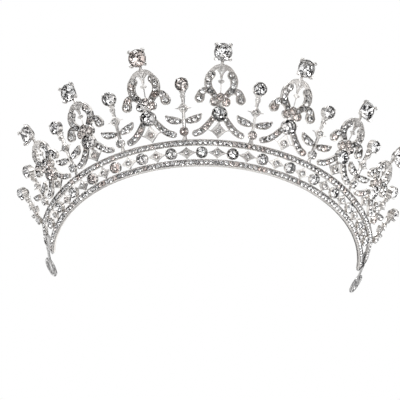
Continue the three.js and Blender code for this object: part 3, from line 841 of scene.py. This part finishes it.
def makeStem(label, station, index):
    grade, share, lean = stem["grades"][index], stem["leaves"][index], stem["leans"][index]
    foot = stemFoot(station, lean)
    seat = Seat(station, lean, foot)

    def up(h):
        return foot + (h - band["upperTop"] - band["solderGap"]) * grade

    bottom, leafUp, starUp, linkUp, top = (up(stem[k]) for k in ("bottom", "leaf", "star", "link", "top"))
    metal, stones = [], []

    def add(shape):
        metal.append(seated(shape, seat))

    for side in (-1, 1):
        line = smoothLine([(side * x * share, leafUp + y * share) for x, y in leafLine], 20)
        paved(seat, line, along(leafWidth, 20) * share, 2.3 * share, metal, stones, 1.9 * share, 1.5 * share,
              (0, 1))
    cup = turned(cupProfile(stem["base"], 1.5, 0.22, 1.5, 1.6), 24)
    metal.append(copies(cup, seat, [[0, bottom, 0]]))
    metal.append(prongRing(seat, (0, bottom), stem["base"], 1.6, 4, 0.4, math.pi / 4))
    add(wire([(0, foot - 0.45), (0, foot + 1.2), (0, bottom)], [1.3, 0.9, 1.3], 8, -0.1, 0.48))
    add(wire([(0, bottom + 1), (0, leafUp), (0, starUp)], [0.85, 0.75, 0.75], 12, -0.2, 1.6))
    half = stem["half"] * shrinkOf(grade)
    at = (0, starUp)
    wings = starReach(stem["wing"], half, half, stem["wingHollow"])
    add(turned(plateProfile(0.5), 36, wings, at))
    add(turned(plateProfile(0.62, 0.14), 32, starReach(*stem["starPlate"]), at))
    add(turned(cupProfile(*stem["starCollet"]), 20, at=at))
    # the neck swells from the star to a deep cone behind the top cup
    neck = [(0, starUp), (0, linkUp), (0, top - 3.9), (0, top - 3.15)]
    add(wire(neck, [0.75, 1.05, 1.35, 1.8], 16, -0.5, 1.25))
    add(turned(plateProfile(0.95, 0.1), 20, starReach(*stem["linkPlate"]), (0, linkUp)))
    holder = turned(cupProfile(stem["cup"], stem["front"], 0.24, 2.9, 1.8, -2.6), 32)
    metal.append(copies(holder, seat, [[0, top, 0]]))
    metal.append(prongRing(seat, (0, top), stem["cup"], stem["front"] + 0.1, 4, 0.5, math.pi / 4))
    metalPiece(label + "_stem_frame", metal, [label + "_stem_frame"])
    stones.append(setStones(plainStone, seat, [[0, starUp, 0.95]], 1.15))
    stones.append(setStones(plainStone, seat, [[0, linkUp, 0.95]], 0.66))
    stones.append(setStones(fineStone, seat, [[0, bottom, 1.35]], 2.0, 0.05))
    stonePiece(label + "_stem_small_stones", stones)
    stone = setStones(fineStone, seat, [[0, top, stem["front"] - 0.15]], stem["stone"], 0.05)
    stonePiece(label + "_stem_stone", [stone], [label + "_stem_stone"])


between = (motifPlaces[1:] + motifPlaces[:-1]) / 2
stemPlaces = np.concatenate([between, motifPlaces[-1] + drawnPitch * np.array([0.5, 1.0])])
for word, side in (("left", -1), ("right", 1)):
    for i, place in enumerate(stemPlaces):
        makeStem(f"{word}_{i + 1}", side * place, i)
print("stems made")

# Band ends.

eye = {"neck": 11.0, "length": 13.0, "width": 10.8, "wire": 2.1, "lift": 0.6, "lip": 2.7, "stand": 7.0}


def makeEnd(word, side):
    end = band["halfLength"]
    seat = Seat(side * (end + eye["lip"] + eye["stand"]))
    start = -eye["stand"]
    middle, height = start + eye["neck"] + eye["length"] / 2, eye["width"] / 2 + eye["lift"]
    rows, sides = 48, 12
    a = np.arange(rows)[:, None] * 2 * math.pi / rows
    t = np.arange(sides)[None, :] * 2 * math.pi / sides
    half = eye["wire"] / 2
    # an oval ring: a round wire carried round an ellipse
    rx, ry = eye["length"] / 2 - half + half * np.cos(t), eye["width"] / 2 - half + half * np.cos(t)
    points = np.stack([side * (middle + rx * np.cos(a)), height + ry * np.sin(a),
                       np.broadcast_to(half * 0.95 * np.sin(t), (rows, sides))], -1).reshape(-1, 3)
    # an even share of painted shade over the ring
    ring = facesOut(seated(chunk(points, gridFaces(rows, sides, True), None, shade["ring"]), seat))
    reach = start + eye["neck"] + 0.6
    neck = wire([(side * start, height), (side * (start + 3), height), (side * (reach - 2.5), height),
                 (side * reach, height)], [1.1, 0.85, 0.85, 1.25], 16, 0.0, 0.75)
    name = word + "_end_eye"
    metalPiece(name, [ring, seated(neck, seat)], [name], shadedPlainSilver)
    # the end block: a plate between the rails with a lip across their ends, its front edge eased
    gap = band["solderGap"]
    totalTop = band["upperTop"] - band["drop"] - gap

    def slotTop(back):
        return band["upperFoot"] - float(railDrop(end - back)) - gap

    outline = np.array([(-7, 3.9), (0.3, 3.9), (0.3, 0.6), (2.0, 0.6), (2.4, 1.0), (2.4, totalTop - 2.6),
                        (1.1, totalTop), (0.3, totalTop), (0.3, slotTop(0)), (-3.5, slotTop(3.5)),
                        (-7, slotTop(7))])
    outline = np.stack([side * (end + outline[:, 0]), outline[:, 1]], 1)
    centre = np.array([side * (end + 1.0), 4.9])
    loops = np.stack([np.column_stack([centre + (outline - centre) * k, np.full(len(outline), z)])
                      for k, z in ((1.0, castBack), (1.0, 0.55), (0.94, 0.75))])
    # an even share of painted shade over the block
    block = capped(loops, np.array([[*centre, castBack], [*centre, 0.75]]), shade["block"])
    name = word + "_end_block"
    metalPiece(name, [seated(block, rolled)], [name], shadedPlainSilver)


for word, side in (("left", -1), ("right", 1)):
    makeEnd(word, side)
print("ends made")

# Stage, light and camera.

studio = {
    "floorSize": 3.0, "floorColour": (0.93, 0.93, 0.92, 1),
    "panelScale": 3.2, "gap": (0.47, (0.03, 0.03, 0.035, 1)), "panel": (0.53, (1.5, 1.5, 1.5, 1)),
    # name, place (m) and power (W)
    "lights": [("keyLight", (-0.5, -0.75, 0.7), 5), ("fillLight", (0.7, -0.6, 0.15), 3)],
    "lightSize": 0.5, "lightTarget": (0, 0, 0.02),
}


def makeFloor():  # seen only from above, so that a camera below the tiara looks through it
    half = studio["floorSize"] / 2
    mesh = bpy.data.meshes.new("floor")
    corners = [(x * half, y * half, 0) for x, y in ((-1, -1), (1, -1), (1, 1), (-1, 1))]
    mesh.from_pydata(corners, [], [(0, 1, 2, 3)])
    floor = bpy.data.objects.new("floor", mesh)
    bpy.context.scene.collection.objects.link(floor)
    floor.location.z = -0.0002
    material, tree, shader = newMaterial("paleFloor")
    link = tree.links.new
    shader.inputs["Base Color"].default_value = studio["floorColour"]
    shader.inputs["Roughness"].default_value = 0.7
    path, sight = tree.nodes.new("ShaderNodeLightPath"), tree.nodes.new("ShaderNodeNewGeometry")
    fromAbove = nodeOf(tree, "ShaderNodeMath", {0: 1.0}, operation="SUBTRACT")
    seen = nodeOf(tree, "ShaderNodeMath", operation="MULTIPLY")
    mix = tree.nodes.new("ShaderNodeMixShader")
    clear = tree.nodes.new("ShaderNodeBsdfTransparent")
    link(sight.outputs["Backfacing"], fromAbove.inputs[1])
    link(fromAbove.outputs[0], seen.inputs[0])
    link(path.outputs["Is Camera Ray"], seen.inputs[1])
    link(seen.outputs[0], mix.inputs[0])
    link(clear.outputs[0], mix.inputs[1])
    link(shader.outputs[0], mix.inputs[2])
    link(mix.outputs[0], tree.nodes["Material Output"].inputs["Surface"])
    mesh.materials.append(material)


def makeWorld():
    # Plain white to the camera; to the metal and stones a studio of bright panels and dark gaps.
    world = bpy.data.worlds.new("studio")
    bpy.context.scene.world = world
    world.use_nodes = True
    tree = world.node_tree
    link = tree.links.new
    output = tree.nodes["World Output"]
    plain = tree.nodes["Background"]
    plain.inputs["Color"].default_value = (1, 1, 1, 1)
    plain.inputs["Strength"].default_value = 1.0
    panels = nodeOf(tree, "ShaderNodeBackground", {"Strength": 1.0})
    where = tree.nodes.new("ShaderNodeTexCoord")
    noise = nodeOf(tree, "ShaderNodeTexNoise", {"Scale": studio["panelScale"], "Detail": 0.0})
    ramp = tree.nodes.new("ShaderNodeValToRGB")
    for stop, key in zip(ramp.color_ramp.elements, ("gap", "panel")):
        stop.position, stop.color = studio[key]
    path = tree.nodes.new("ShaderNodeLightPath")
    mix = tree.nodes.new("ShaderNodeMixShader")
    link(where.outputs["Generated"], noise.inputs["Vector"])
    link(noise.outputs["Fac"], ramp.inputs["Fac"])
    link(ramp.outputs["Color"], panels.inputs["Color"])
    link(path.outputs["Is Camera Ray"], mix.inputs[0])
    link(panels.outputs[0], mix.inputs[1])
    link(plain.outputs[0], mix.inputs[2])
    link(mix.outputs[0], output.inputs["Surface"])


def makeLight(name, place, power):
    data = bpy.data.lights.new(name, "AREA")
    data.shape, data.size, data.energy = "DISK", studio["lightSize"], power
    light = bpy.data.objects.new(name, data)
    light.location = place
    light.rotation_mode = "QUATERNION"
    aim = Vector(studio["lightTarget"]) - Vector(place)
    light.rotation_quaternion = aim.to_track_quat("-Z", "Y")
    light.visible_camera = False
    bpy.context.scene.collection.objects.link(light)


def makeCamera():
    # Placed from the front of the lower rail's lower edge, below the tiara, looking up its sloping face.
    view = {"offset": (-20.5, -344.8, -307.4), "look": (0.0293, 0.7690, 0.6386), "roll": 1.88, "lens": 87.0}
    front = Vector((0, centreY - band["baseRadius"], edgeLevel))
    data = bpy.data.cameras.new("camera")
    data.lens, data.sensor_width = view["lens"], 36.0
    data.clip_start, data.clip_end = 0.01, 20
    camera = bpy.data.objects.new("camera", data)
    turn = Vector(view["look"]).to_track_quat("-Z", "Y").to_matrix()
    turn = turn @ Euler((0, 0, math.radians(view["roll"]))).to_matrix()
    camera.matrix_world = Matrix.Translation((front + Vector(view["offset"])) * 0.001) @ turn.to_4x4()
    bpy.context.scene.collection.objects.link(camera)
    bpy.context.scene.camera = camera


makeFloor()
makeWorld()
for name, place, power in studio["lights"]:
    makeLight(name, place, power)
makeCamera()
bpy.context.scene.view_settings.view_transform = "Standard"
print("stage made")
